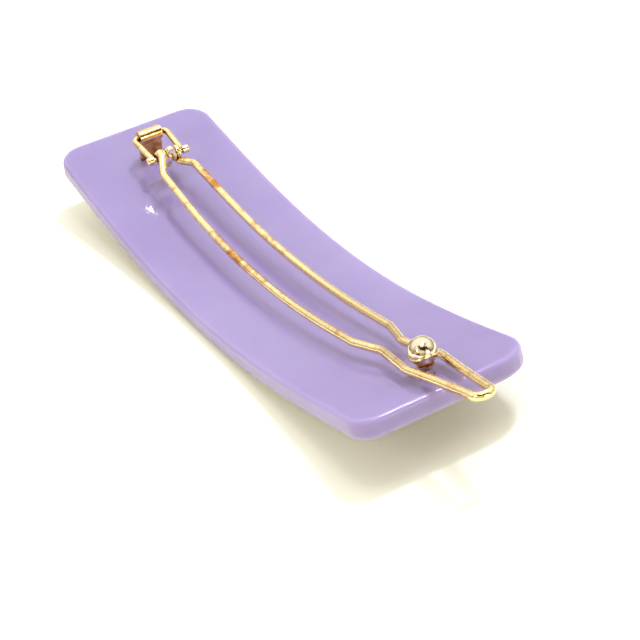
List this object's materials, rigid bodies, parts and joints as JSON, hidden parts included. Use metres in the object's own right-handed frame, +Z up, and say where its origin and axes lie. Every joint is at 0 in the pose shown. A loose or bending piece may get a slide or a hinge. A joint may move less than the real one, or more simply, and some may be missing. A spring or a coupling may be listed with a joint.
{
  "type": "hair clip",
  "caption": "Long gently curved translucent plastic hair clip with a wire clasp that turns in a barrel hinge and closes over a ball stud.",
  "frame": {"origin": "under the middle of the plate, on the surface that the clip lies on", "axes": "+X along the clip from the hinge to the ball, +Y across it, +Z up, from the plate's outer side to the clasp"},
  "size_m": [0.1072, 0.0264, 0.0144],
  "materials": {
    "lilac_acetate": "glossy",
    "gold_plated_metal": "polished"
  },
  "bodies": {
    "plate_body": {"plate": "lilac_acetate", "hinge_bracket": "gold_plated_metal", "ball_stud": "gold_plated_metal"},
    "clasp": {"hinge_link": "gold_plated_metal", "clasp_wire": "gold_plated_metal"}
  },
  "joints": [
    {"name": "clasp_hinge", "type": "hinge", "parent": "plate_body", "child": "clasp", "pos_m": [-0.03927, 0, 0.01262], "axis": [0, -1, 0], "range_deg": [0, 120]}
  ]
}
